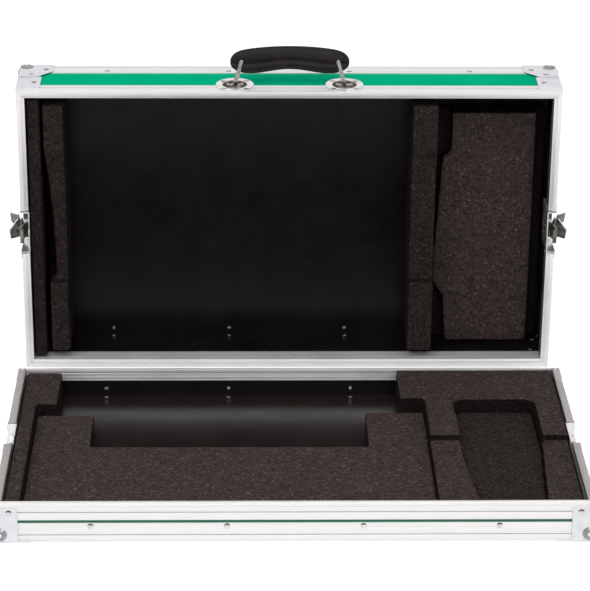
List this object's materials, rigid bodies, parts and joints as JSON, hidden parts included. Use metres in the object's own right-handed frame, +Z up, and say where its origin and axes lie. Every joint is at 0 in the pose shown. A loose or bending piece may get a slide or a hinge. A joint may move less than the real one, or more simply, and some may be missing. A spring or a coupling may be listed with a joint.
{
  "type": "guitar pedal case",
  "caption": "Low flight case for guitar effects: shallow base with cut foam bays, deeper lift-off lid with a carrying handle, metal edges, ball corners and twist latches.",
  "frame": {"origin": "on the table, below the middle of the open case's box", "axes": "+X right along the case's length, +Y from the base towards the standing lid, +Z up"},
  "size_m": [0.7334, 0.605, 0.4468],
  "materials": {
    "laminated_ply": "satin",
    "aluminium": "satin",
    "foam": "matt",
    "grip_plastic": "satin",
    "plated_steel": "polished",
    "corner_steel": "satin"
  },
  "bodies": {
    "base": {"base_ball_corners": "corner_steel", "base_bottom_panel": "laminated_ply", "base_front_angle": "aluminium", "base_front_panel": "laminated_ply", "base_front_rim": "aluminium", "base_left_angle": "aluminium", "base_left_panel": "laminated_ply", "base_left_rim": "aluminium", "base_rear_angle": "aluminium", "base_rear_panel": "laminated_ply", "base_rear_rim": "aluminium", "base_right_angle": "aluminium", "base_right_panel": "laminated_ply", "base_right_rim": "aluminium", "base_rivets": "corner_steel", "foam_bed": "foam", "foam_left": "foam", "foam_pedal_floor": "foam", "foam_pedal_frame": "foam", "keeper_dish_left": "plated_steel", "keeper_dish_right": "plated_steel"},
    "lid": {"handle_brackets": "plated_steel", "handle_dishes": "plated_steel", "hook_pin_left": "plated_steel", "hook_pin_right": "plated_steel", "latch_dish_left": "plated_steel", "latch_dish_right": "plated_steel", "lid_ball_corners": "corner_steel", "lid_corner_angles": "aluminium", "lid_foam_left_inner": "foam", "lid_foam_left_outer": "foam", "lid_foam_middle": "foam", "lid_foam_right": "foam", "lid_front_angle": "aluminium", "lid_front_panel": "laminated_ply", "lid_front_rim": "aluminium", "lid_left_angle": "aluminium", "lid_left_panel": "laminated_ply", "lid_left_rim": "aluminium", "lid_rear_angle": "aluminium", "lid_rear_panel": "laminated_ply", "lid_rear_rim": "aluminium", "lid_right_angle": "aluminium", "lid_right_panel": "laminated_ply", "lid_right_rim": "aluminium", "lid_rim_braces": "corner_steel", "lid_rivets": "corner_steel", "lid_top_panel": "laminated_ply"},
    "handle": {"handle_grip": "grip_plastic", "handle_loops": "plated_steel"},
    "latch_hook_left": {"latch_hook_left": "plated_steel"},
    "latch_hook_right": {"latch_hook_right": "plated_steel"},
    "latch_spindle_left": {"latch_spindle_left": "plated_steel", "wing_pin_left": "plated_steel"},
    "latch_spindle_right": {"latch_spindle_right": "plated_steel", "wing_pin_right": "plated_steel"},
    "latch_wing_left_far": {"latch_wing_left_far": "plated_steel"},
    "latch_wing_left_near": {"latch_wing_left_near": "plated_steel"},
    "latch_wing_right_far": {"latch_wing_right_far": "plated_steel"},
    "latch_wing_right_near": {"latch_wing_right_near": "plated_steel"}
  },
  "joints": [
    {"name": "lid_close", "type": "hinge", "parent": "base", "child": "lid", "pos_m": [0, 0.123, -0.03135], "axis": [1, 0, 0], "range_deg": [0, 87.75]},
    {"name": "handle_swing", "type": "hinge", "parent": "lid", "child": "handle", "pos_m": [0, 0.21004, 0.39405], "axis": [1, 0, 0], "range_deg": [-66, 66]},
    {"name": "latch_turn_left", "type": "hinge", "parent": "lid", "child": "latch_spindle_left", "pos_m": [-0.35, 0.21734, 0.19769], "axis": [-1, 0, 0], "range_deg": [0, 180]},
    {"name": "wing_fold_left_near", "type": "hinge", "parent": "latch_spindle_left", "child": "latch_wing_left_near", "pos_m": [-0.351, 0.21734, 0.19769], "axis": [0, 0.619, -0.7854], "range_deg": [-26, 48]},
    {"name": "wing_fold_left_far", "type": "hinge", "parent": "latch_spindle_left", "child": "latch_wing_left_far", "pos_m": [-0.351, 0.21734, 0.19769], "axis": [0, -0.619, 0.7854], "range_deg": [-26, 48]},
    {"name": "hook_swing_left", "type": "hinge", "parent": "lid", "child": "latch_hook_left", "pos_m": [-0.34475, 0.20575, 0.19723], "axis": [0, -0.0392, 0.9992], "range_deg": [0, 12]},
    {"name": "latch_turn_right", "type": "hinge", "parent": "lid", "child": "latch_spindle_right", "pos_m": [0.35, 0.21734, 0.19769], "axis": [1, 0, 0], "range_deg": [0, 180]},
    {"name": "wing_fold_right_near", "type": "hinge", "parent": "latch_spindle_right", "child": "latch_wing_right_near", "pos_m": [0.351, 0.21734, 0.19769], "axis": [0, -0.619, 0.7854], "range_deg": [-26, 48]},
    {"name": "wing_fold_right_far", "type": "hinge", "parent": "latch_spindle_right", "child": "latch_wing_right_far", "pos_m": [0.351, 0.21734, 0.19769], "axis": [0, 0.619, -0.7854], "range_deg": [-26, 48]},
    {"name": "hook_swing_right", "type": "hinge", "parent": "lid", "child": "latch_hook_right", "pos_m": [0.34475, 0.20575, 0.19723], "axis": [0, 0.0392, -0.9992], "range_deg": [0, 12]}
  ],
  "couplings": [
    {"joint": "hook_swing_left", "follows": "latch_turn_left", "ratio": 0.066667},
    {"joint": "hook_swing_right", "follows": "latch_turn_right", "ratio": 0.066667}
  ]
}
